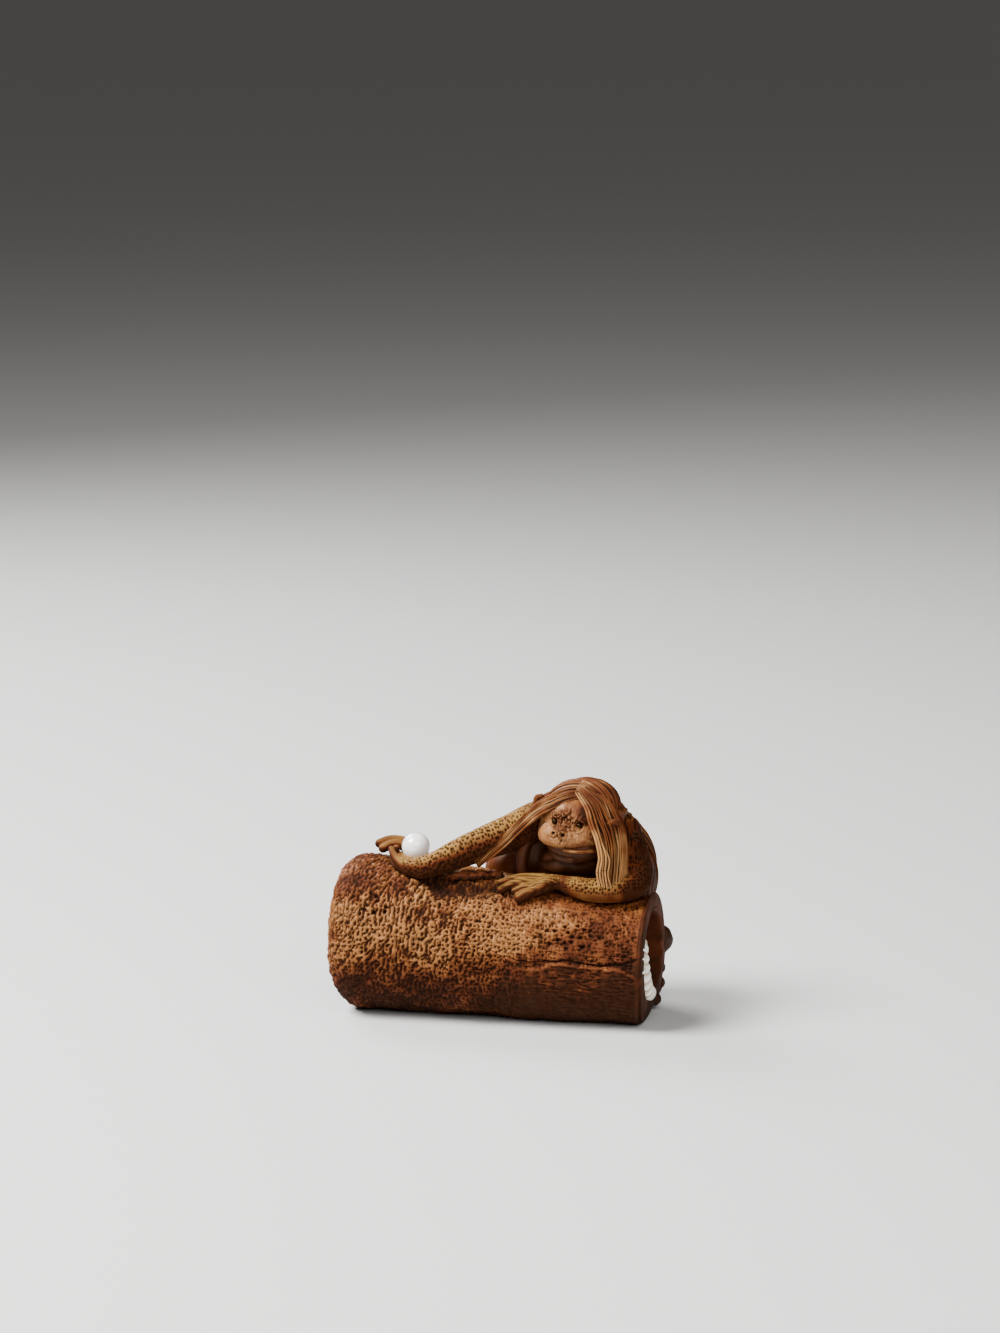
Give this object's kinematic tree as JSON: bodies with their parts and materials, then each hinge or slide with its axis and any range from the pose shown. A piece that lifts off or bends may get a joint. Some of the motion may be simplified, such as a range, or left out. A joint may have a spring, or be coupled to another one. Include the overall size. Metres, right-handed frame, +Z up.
{
  "type": "netsuke",
  "caption": "Carved wooden netsuke of an orangutan leaning over a hollow log from behind, a pearl in its outstretched hand and a grub in the mouth of the log.",
  "frame": {"origin": "middle of the flat under the log, on the surface that it stands on", "axes": "+X along the log towards its open mouth, -Y towards the side that the ape looks to, +Z up"},
  "size_m": [0.0512, 0.0303, 0.0378],
  "materials": {
    "boxwood": "stained, pitted and polished to a soft gloss",
    "pearl": "pearl with a soft lustre",
    "bone": "satin bone",
    "horn": "polished dark horn"
  },
  "bodies": {
    "root": {"carving": "boxwood", "pearl": "pearl", "grub": "bone", "eye_right": "horn", "eye_left": "horn"}
  },
  "joints": []
}
